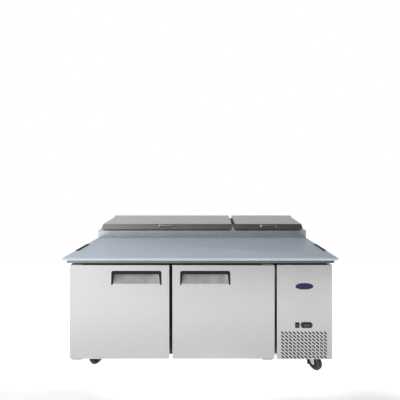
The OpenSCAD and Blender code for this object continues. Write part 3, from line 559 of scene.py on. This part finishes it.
class PREPTABLE_OT_grips(bpy.types.Operator):
    """Recessed grips: a domed black trim round three sides, and a pressed scoop behind it"""
    bl_idname = "preptable.grips"
    bl_label = "Door Grips"

    def trim(self, low, high, dome):
        """Between an outer and an inner U, y = -dome (1 - |2t - 1|^6)^(1/6) over t from 0 to 1."""
        width = high[0] - low[0]
        middle = (low[0] + high[0]) / 2
        turn = np.linspace(0, np.pi / 2, 10)
        half = width / 2
        corner = 0.013
        inner_corner = 0.005
        leg_foot = 0.0095
        leg_head = 0.018
        band = 0.022

        def arch(side_low, side_high, top, radius):
            """Left leg up, over the top and down again, with round corners."""
            left = np.stack([-side_high + radius * (1 - np.cos(turn)),
                             top - radius * (1 - np.sin(turn))], 1)
            right = left[::-1] * np.array([-1, 1])
            return np.concatenate([[[-side_low, low[2]]], left, right, [[side_low, low[2]]]])

        outer = arch(half, half - 0.001, high[2], corner)
        inner = arch(half - leg_foot, half - leg_head, high[2] - band, inner_corner)
        across = np.linspace(0, 1, 11)[:, None, None]
        flat = outer[None] * (1 - across) + inner[None] * across
        face_y = low[1] + dome
        rise = dome * (1 - np.abs(2 * across[..., 0] - 1) ** 6) ** (1 / 6)
        depth = np.broadcast_to(face_y - rise, flat.shape[:2])
        front = np.stack([middle + flat[..., 0], depth, flat[..., 1]], axis=-1)
        back = front[::-1].copy()
        back[..., 1] = face_y + 0.004
        rings = np.concatenate([front, back]).transpose(1, 0, 2)
        return loft(rings)

    def scoop(self, low, high, dome):
        """Depth D s(v) (1 - |u|^12) over u across and v up, s a smooth step to the finger well."""
        width = (high[0] - low[0]) / 2 - 0.0095
        middle = (low[0] + high[0]) / 2
        u = np.linspace(-1, 1, 49)[None, :]
        v = np.linspace(0, 1, 33)[:, None]
        ramp = v * v * (3 - 2 * v)
        side = 1 - np.abs(u) ** 14
        face_y = low[1] + dome
        depth = face_y + 0.0008 + 0.029 * (0.35 * v + 0.65 * ramp) * side
        height = low[2] + 0.001 + (high[2] - low[2] - 0.012) * v
        splay = width - 0.004 * v
        points = np.stack(np.broadcast_arrays(middle + u * splay, depth, height), axis=-1)
        return patch(points)

    def execute(self, context):
        dome = settings().trim_dome
        for side in SIDES:
            low, high = corners(f"door_{side}_handle")
            trim = add_piece(f"door_{side}_grip_trim", self.trim(low, high, dome),
                             MATERIALS["black_plastic"], f"door_{side}")
            scoop = add_piece(f"door_{side}_grip_scoop", self.scoop(low, high, dome),
                              MATERIALS["grip_grey"], f"door_{side}", outward=False)
            wall = scoop.modifiers.new("wall", "SOLIDIFY")
            wall.thickness = 0.0015
            wall.offset = -1
            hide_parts(f"door_{side}_handle")
            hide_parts(f"door_{side}_handle")
        return {"FINISHED"}


class PREPTABLE_OT_gaskets(bpy.types.Operator):
    """Magnetic door gaskets: a bellows section carried round a rounded rectangle"""
    bl_idname = "preptable.gaskets"
    bl_label = "Door Gaskets"

    def execute(self, context):
        # Across the gasket (inwards) and through it (towards the cabinet), as shares of its size
        section = np.array([[0, 0], [0.9, 0], [0.75, 0.22], [1, 0.4], [0.8, 0.6], [1, 0.8],
                            [0.95, 1], [0.05, 1], [0, 0.8], [0.2, 0.6], [0, 0.4], [0.25, 0.22]])
        across = 0.016
        for side in SIDES:
            low, high = corners(f"door_{side}_gasket")
            middle = (low + high)[[0, 2]] / 2
            half = (high - low)[[0, 2]] / 2
            rings = [ring_at(rounded_rectangle(middle, half - s * across, 0.018 - s * 0.014, 6),
                             low[1] + t * (high[1] - low[1]), 1) for s, t in section]
            ring = add_piece(f"door_{side}_bellows", loft(np.array(rings), False, True),
                             MATERIALS["gasket_rubber"], f"door_{side}")
            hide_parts(f"door_{side}_gasket")
        return {"FINISHED"}


class PREPTABLE_OT_board(bpy.types.Operator):
    """Cutting board: a slab with eased edges"""
    bl_idname = "preptable.board"
    bl_label = "Cutting Board"

    def execute(self, context):
        low, high = corners("cutting_board")
        edge = settings().board_edge
        board = add_piece("cutting_board_slab", soft_box(low, high, edge, 0.004, axis=2),
                          MATERIALS["board_plastic"], "cutting_board")
        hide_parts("cutting_board")
        return {"FINISHED"}


class PREPTABLE_OT_board_grips(bpy.types.Operator):
    """Board grips: rings drawn in by 1 - cos and raised by sin, so each strip has a rounded shoulder"""
    bl_idname = "preptable.board_grips"
    bl_label = "Board Grips"

    def execute(self, context):
        low, high = corners("board_grips")
        width = 0.024
        for sign, side in ((-1, "left"), (1, "right")):
            outer = sign * high[0]
            inner = sign * (high[0] - width)
            middle = ((outer + inner) / 2, (low[1] + high[1]) / 2)
            half = np.array([width / 2, (high[1] - low[1]) / 2])
            share = np.concatenate([[1.0, 1.0], np.cos(np.linspace(0.25, np.pi / 2 - 0.05, 9))])
            rise = np.concatenate([[0.0, 0.55], 0.55 + 0.45 * np.sin(np.linspace(0.25, np.pi / 2, 9))])
            rings = []
            for s, h in zip(share, rise):
                inset = (1 - s) * width / 2
                outline = rounded_rectangle(middle, half - inset, max(0.006 - inset * 0.4, 0.0006), 6)
                rings.append(ring_at(outline, low[2] + h * (high[2] - low[2]), 2))
            grip = add_piece(f"board_grip_{side}", loft(np.array(rings)), MATERIALS["grip_rubber"],
                             "cutting_board")
            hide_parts("board_grips")
        return {"FINISHED"}


class PREPTABLE_OT_lid_pulls(bpy.types.Operator):
    """Lid pulls: a flat strip bent up at each end, carried along a rounded path on the sloping nose"""
    bl_idname = "preptable.lid_pulls"
    bl_label = "Lid Pulls"

    def execute(self, context):
        slope = np.array([0.0, 1.0, 1.0]) / np.sqrt(2)
        out = np.array([0.0, -1.0, 1.0]) / np.sqrt(2)
        stand = 0.0105
        bend = 0.006
        nose_length = 0.0523
        up_nose = 0.45 * nose_length + 0.008
        turn = np.linspace(0, np.pi / 2, 8)
        for side in SIDES:
            low, high = corners(f"lid_{side}_handle")
            nose_low = corners(f"lid_{side}_skin")[0]
            half = (high[0] - low[0]) / 2
            middle = (low[0] + high[0]) / 2
            end = -half + 0.0015
            foot = np.array([[end, 0.0]])
            left = np.stack([end + bend * (1 - np.cos(turn)), stand - bend * (1 - np.sin(turn))], 1)
            path = np.concatenate([foot, left, left[::-1] * np.array([-1, 1]), foot * np.array([-1, 1])])
            run = np.gradient(path, axis=0)
            run /= np.linalg.norm(run, axis=1)[:, None]
            normal = np.stack([-run[:, 1], run[:, 0]], axis=1)
            section = rounded_rectangle((0, 0), (0.0012, 0.008), 0.0011, 4)
            # The strip's middle line lies a set way up the nose from the lid's front lower edge
            base = np.array([middle, nose_low[1], nose_low[2]]) + slope * up_nose
            flat = path[:, None] + normal[:, None] * section[None, :, :1]
            across = np.broadcast_to(section[None, :, 1:], flat.shape[:2] + (1,))
            rings = base + flat[..., :1] * np.array([1.0, 0, 0]) + flat[..., 1:] * out + across * slope
            pull = add_piece(f"lid_{side}_pull", loft(rings), MATERIALS["pull_steel"], f"lid_{side}")
            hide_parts(f"lid_{side}_handle")
        return {"FINISHED"}


class PREPTABLE_OT_badge(bpy.types.Operator):
    """Oval badge: a dome z = h (1 - r^4) inside a raised rim, over an ellipse"""
    bl_idname = "preptable.badge"
    bl_label = "Badge"

    def execute(self, context):
        low, high = corners("badge")
        middle = (low + high) / 2
        half = (high - low) / 2
        turn = np.linspace(0, 2 * np.pi, 96, endpoint=False)
        circle = np.stack([np.cos(turn) * half[0], np.sin(turn) * half[2]], axis=1)

        def oval(share, depth):
            """One ring of the badge, standing off the panel."""
            points = circle * share + np.array([middle[0], middle[2]])
            return ring_at(points, high[1] - depth, 1)

        face = [oval(r, 0.0012 + 0.0006 * (1 - r ** 4)) for r in np.linspace(0.93, 0.05, 12)]
        plate = add_piece("badge_face", loft(np.array([oval(0.93, 0.0001)] + face)),
                          MATERIALS["badge_blue"], "cabinet")
        rim_rings = [oval(r, d) for r, d in ((1.0, 0.0), (1.0, 0.0012), (0.985, 0.0019), (0.955, 0.002),
                                            (0.935, 0.0016), (0.93, 0.0))]
        rim = add_piece("badge_rim", loft(np.array(rim_rings), False, True), MATERIALS["pull_steel"],
                        "cabinet")
        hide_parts("badge")
        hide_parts("badge")
        return {"FINISHED"}


class PREPTABLE_OT_controls(bpy.types.Operator):
    """Controller, its window and buttons"""
    bl_idname = "preptable.controls"
    bl_label = "Controls"

    def execute(self, context):
        low, high = corners("controller_case")
        front = low[1]
        middle = (low + high)[[0, 2]] / 2
        half = (high - low)[[0, 2]] / 2
        lip = 0.004
        corner = 0.016
        body_half = (0.033, 0.0139)

        def outline(share_in, depth):
            """The controller's rounded outline, drawn in and moved back."""
            return ring_at(rounded_rectangle(middle, half - share_in, corner - share_in, 9),
                           front + depth, 1)

        rings = [outline(0, lip), outline(0, 0.0012), outline(0.0006, 0.0004), outline(0.0016, 0),
                 outline(0.0035, 0), outline(0.004, 0.0008), outline(0.013, 0.0008)]
        body = soft_box((middle[0] - body_half[0], front + lip, middle[1] - body_half[1]),
                        (middle[0] + body_half[0], high[1], middle[1] + body_half[1]), 0.001)
        case = add_piece("controller_shell", join([loft(np.array(rings)), body]),
                         MATERIALS["control_black"], "cabinet")
        window_half = np.array([0.021, 0.0105])
        window = add_piece("controller_window", soft_box(
            (middle[0] - window_half[0], front - 0.0002, middle[1] - window_half[1]),
            (middle[0] + window_half[0], front + 0.001, middle[1] + window_half[1]), 0.0004, 0.003),
            MATERIALS["tinted_glass"], "cabinet")
        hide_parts("controller_case")
        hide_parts("controller_case")
        for node, body_name in (("controller_set_button", "set_button"),
                                ("controller_light_button", "light_button")):
            b_low, b_high = corners(node)
            centre = (b_low + b_high) / 2
            radius = (b_high[0] - b_low[0]) / 2
            length = b_high[1] - b_low[1]
            profile = [(radius * r, length * d) for r, d in ((1, 0), (1, 0.8), (0.9, 0.93), (0.6, 0.98),
                                                             (0.15, 1))]
            button = add_piece(f"{node}_cap", revolve(profile, (centre[0], b_high[1], centre[2]),
                                                      (0, -1, 0), 32),
                               MATERIALS["button_grey"], body_name)
            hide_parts(node)
        return {"FINISHED"}


class PREPTABLE_OT_screws(bpy.types.Operator):
    """Domed sheet screws: a spherical cap turned about its axis"""
    bl_idname = "preptable.screws"
    bl_label = "Screws"

    def screw(self, centre, axis, radius=0.004):
        """A cap of height 0.45 r over a short rim, with a raised washer edge."""
        height = radius * 0.45
        share = np.linspace(1, 0.08, 6)
        cap = [(radius * s, 0.0006 + height * np.sqrt(max(0.0, 1 - s * s))) for s in share]
        return revolve([(radius * 1.25, 0), (radius * 1.25, 0.0005)] + cap, centre, axis, 16)

    def execute(self, context):
        low, high = corners("machine_panel")
        back_low, back_high = corners("back_panel")
        heads = []
        for x in (low[0] + 0.012, high[0] - 0.012):
            heads += [self.screw((x, low[1], z), (0, -1, 0), 0.003)
                      for z in (low[2] + 0.3, high[2] - 0.012)]
        rear = np.linspace(back_low[0] + 0.02, back_high[0] - 0.02, 9)
        for x in rear:
            heads += [self.screw((x, back_high[1] - 0.0005, z), (0, 1, 0), 0.0035)
                      for z in (back_low[2] + 0.015, back_high[2] - 0.02)]
        add_piece("sheet_screws", join(heads), MATERIALS["pull_steel"], "cabinet")
        return {"FINISHED"}


class PREPTABLE_OT_wheels(bpy.types.Operator):
    """Wheels: tyre and hub profiles turned about the axle, with spokes pressed into the hub"""
    bl_idname = "preptable.wheels"
    bl_label = "Wheels"

    def execute(self, context):
        grooves = settings().tread_grooves
        radius = 0.05
        half = 0.016
        bead = 0.034
        round_over = 0.005
        shoulder = np.linspace(0, np.pi / 2, 7)
        tread = np.linspace(-1, 1, 41)
        tread_width = half - round_over
        dip = 0.0008 * (np.cos(tread * np.pi * (grooves + 1)) > 0.86)
        tread_line = np.stack([radius - dip * (np.abs(tread) < 0.95), tread * tread_width], axis=1)
        left = np.stack([radius - round_over * (1 - np.cos(shoulder)),
                         -tread_width - round_over * np.sin(shoulder)], 1)
        right = left * np.array([1, -1])
        tyre = np.concatenate([[[bead, -half + 0.001]], left[::-1], tread_line[1:-1], right,
                               [[bead, half - 0.001]]])
        hub = np.array([[0.0052, -half - 0.0012], [0.012, -half - 0.0012], [0.013, -half + 0.002],
                        [0.016, -half + 0.005], [0.029, -half + 0.005], [0.031, -half + 0.001],
                        [0.0342, -half + 0.001], [0.0342, half - 0.001], [0.031, half - 0.001],
                        [0.029, half - 0.005], [0.016, half - 0.005], [0.013, half - 0.002],
                        [0.012, half + 0.0012], [0.0052, half + 0.0012]])
        for caster in CASTERS:
            joint = joint_of(f"{caster}_roller")
            centre = np.array(joint["pos_m"])
            axle = np.array(joint["axis"])
            tread_piece = add_piece(f"{caster}_tyre", revolve(tyre, centre, axle, 96, True),
                                    MATERIALS["wheel_rubber"], f"{caster}_roller")
            u, v = frame_of(axle)
            parts = [revolve(hub, centre, axle, 64, True)]
            for k in range(8):
                turn = k * np.pi / 4
                spoke = u * np.cos(turn) + v * np.sin(turn)
                rib = np.cross(axle, spoke)
                for s in (-1, 1):
                    outline = rounded_rectangle((0, 0), (0.0016, 0.0018), 0.0006, 3)
                    ends = [centre + spoke * r + axle * s * (half - 0.004) for r in (0.012, 0.031)]
                    rings = np.array([e + outline[:, :1] * rib + outline[:, 1:] * axle for e in ends])
                    parts.append(loft(rings))
            core = add_piece(f"{caster}_hub", join(parts), MATERIALS["hub_plastic"],
                             f"{caster}_roller")
            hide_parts(f"{caster}_wheel")
            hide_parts(f"{caster}_wheel")
        return {"FINISHED"}


class PREPTABLE_OT_stage(bpy.types.Operator):
    """Pale floor, soft studio light and the camera"""
    bl_idname = "preptable.stage"
    bl_label = "Stage"

    def floor(self, half_width=3.4, front=-2.42, back=1.9):
        """A pale floor that glows a little, most in a soft band in front of the doors."""
        mesh = bpy.data.meshes.new("studio_floor")
        edge = [(-half_width, front), (half_width, front), (half_width, back), (-half_width, back)]
        mesh.from_pydata([(x, y, 0.0) for x, y in edge], [], [(0, 1, 2, 3)])
        floor = bpy.data.objects.new("studio_floor", mesh)
        bpy.context.collection.objects.link(floor)
        n = Nodes("studio_floor")
        cloud = n.noise(0.8, 2.0)
        n.link(n.between(n.span(cloud, 0, 1), (0.86, 0.86, 0.86), (0.90, 0.90, 0.90)),
               n.shader.inputs["Base Color"])
        x, y, _ = n.split(n.place)
        wander = n.maths("MULTIPLY_ADD", n.noise(0.9, 1.0), 0.5, -0.25)
        from_front = n.maths("ADD", n.maths("ADD", y, wander), -front)
        glow = n.ramp(n.maths("DIVIDE", from_front, -front), [
            (position, (level,) * 3) for position, level in (
                (0.0, 0.37), (0.30, 0.35), (0.52, 0.50), (0.66, 0.29), (0.81, 0.19), (0.88, 0.84))])
        n.link(n.maths("MULTIPLY", glow, n.maths("MULTIPLY_ADD", x, -0.05, 1.0)),
               n.shader.inputs["Emission Strength"])
        n.set(Roughness=0.9, Specular_IOR_Level=0.1, Emission_Color=(1, 1, 1, 1))
        mesh.materials.append(n.material)

    def sky(self):
        """World light by direction: brighter low and at the back, dimmer overhead and to the right."""
        world = bpy.data.worlds.new("studio")
        bpy.context.scene.world = world
        world.use_nodes = True
        sky = Tree(world.node_tree)
        new = sky.tree.nodes.new
        sky.tree.nodes.clear()
        x, y, z = sky.split(new("ShaderNodeTexCoord").outputs["Generated"])
        levels = ((0.40, 0.53), (0.5, 0.53), (0.58, 0.66), (0.66, 0.70), (0.80, 0.34))
        colour = sky.ramp(sky.maths("MULTIPLY_ADD", z, 0.5, 0.5), [
            (0.0, (0.5, 0.5, 0.5)),
            *((position, (level, level, level * 0.99)) for position, level in levels),
            (1.0, (0.155, 0.15, 0.135))])
        reach = sky.ramp(sky.maths("MULTIPLY_ADD", y, 0.5, 0.5), [
            (position, (level,) * 3) for position, level in ((0.05, 0.78), (0.4, 0.97), (0.95, 0.11))])
        lean = sky.maths("MULTIPLY", x, sky.maths("MULTIPLY", reach, -2.3))
        soft = new("ShaderNodeBackground")
        sky.link(colour, soft.inputs["Color"])
        sky.link(sky.maths("POWER", 2.718, lean), soft.inputs["Strength"])
        white = new("ShaderNodeBackground")
        white.inputs["Color"].default_value = (1, 1, 1, 1)
        mix = new("ShaderNodeMixShader")
        sky.link(new("ShaderNodeLightPath").outputs["Is Camera Ray"], mix.inputs[0])
        sky.link(soft.outputs[0], mix.inputs[1])
        sky.link(white.outputs[0], mix.inputs[2])
        sky.link(mix.outputs[0], new("ShaderNodeOutputWorld").inputs[0])

    def area(self, name, place, aim, size, power):
        """One soft light, turned to face a point."""
        light = bpy.data.lights.new(name, "AREA")
        light.energy = power
        light.shape = "RECTANGLE"
        light.size, light.size_y = size
        lamp = bpy.data.objects.new(name, light)
        bpy.context.collection.objects.link(lamp)
        lamp.location = place
        lamp.rotation_mode = "QUATERNION"
        lamp.rotation_quaternion = (Vector(aim) - Vector(place)).to_track_quat("-Z", "Y")
        lamp.visible_glossy = False
        lamp.visible_camera = False

    def execute(self, context):
        studio = context.scene.prep_table_studio
        self.floor()
        self.sky()
        self.area("key", (-2.6, -2.6, 2.9), (0, 0, 0.5), (3.0, 2.2), studio.key_power)
        self.area("fill", (2.8, -3.2, 1.6), (0, 0, 0.4), (2.5, 2.0), studio.key_power * 0.35)
        data = bpy.data.cameras.new("camera")
        data.lens = studio.lens
        data.sensor_width = 36.0
        data.shift_x = -0.01925
        data.shift_y = -0.0605
        data.clip_end = 200
        camera = bpy.data.objects.new("camera", data)
        bpy.context.collection.objects.link(camera)
        camera.location = (studio.camera_side, -studio.camera_back, studio.camera_height)
        camera.rotation_euler = (np.pi / 2, 0, 0)
        context.scene.camera = camera
        context.scene.view_settings.view_transform = "Standard"
        return {"FINISHED"}


OPERATORS = (
    PREPTABLE_OT_finishes, PREPTABLE_OT_doors, PREPTABLE_OT_grips, PREPTABLE_OT_gaskets,
    PREPTABLE_OT_board, PREPTABLE_OT_board_grips, PREPTABLE_OT_lid_pulls, PREPTABLE_OT_badge,
    PREPTABLE_OT_controls, PREPTABLE_OT_screws, PREPTABLE_OT_wheels, PREPTABLE_OT_stage,
)


class PREPTABLE_PT_panel(bpy.types.Panel):
    """Buttons for each group of pieces"""
    bl_idname = "PREPTABLE_PT_panel"
    bl_label = "Prep Table"
    bl_space_type = "VIEW_3D"
    bl_region_type = "UI"
    bl_category = "Prep Table"

    def draw(self, context):
        for group in (context.scene.prep_table_look, context.scene.prep_table_studio):
            for key in type(group).__annotations__:
                self.layout.prop(group, key)
        for operator in OPERATORS:
            self.layout.operator(operator.bl_idname)


CLASSES = (PrepTableLook, PrepTableStudio, *OPERATORS, PREPTABLE_PT_panel)


def register():
    """Adds the classes and their settings."""
    for cls in CLASSES:
        bpy.utils.register_class(cls)
    bpy.types.Scene.prep_table_look = PointerProperty(type=PrepTableLook)
    bpy.types.Scene.prep_table_studio = PointerProperty(type=PrepTableStudio)


def unregister():
    """Takes the settings and the classes out again."""
    del bpy.types.Scene.prep_table_look
    del bpy.types.Scene.prep_table_studio
    for cls in reversed(CLASSES):
        bpy.utils.unregister_class(cls)


def main():
    """Registers the add-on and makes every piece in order."""
    register()
    for operator in OPERATORS:
        group, name = operator.bl_idname.split(".")
        getattr(getattr(bpy.ops, group), name)()


if __name__ == "__main__":
    main()
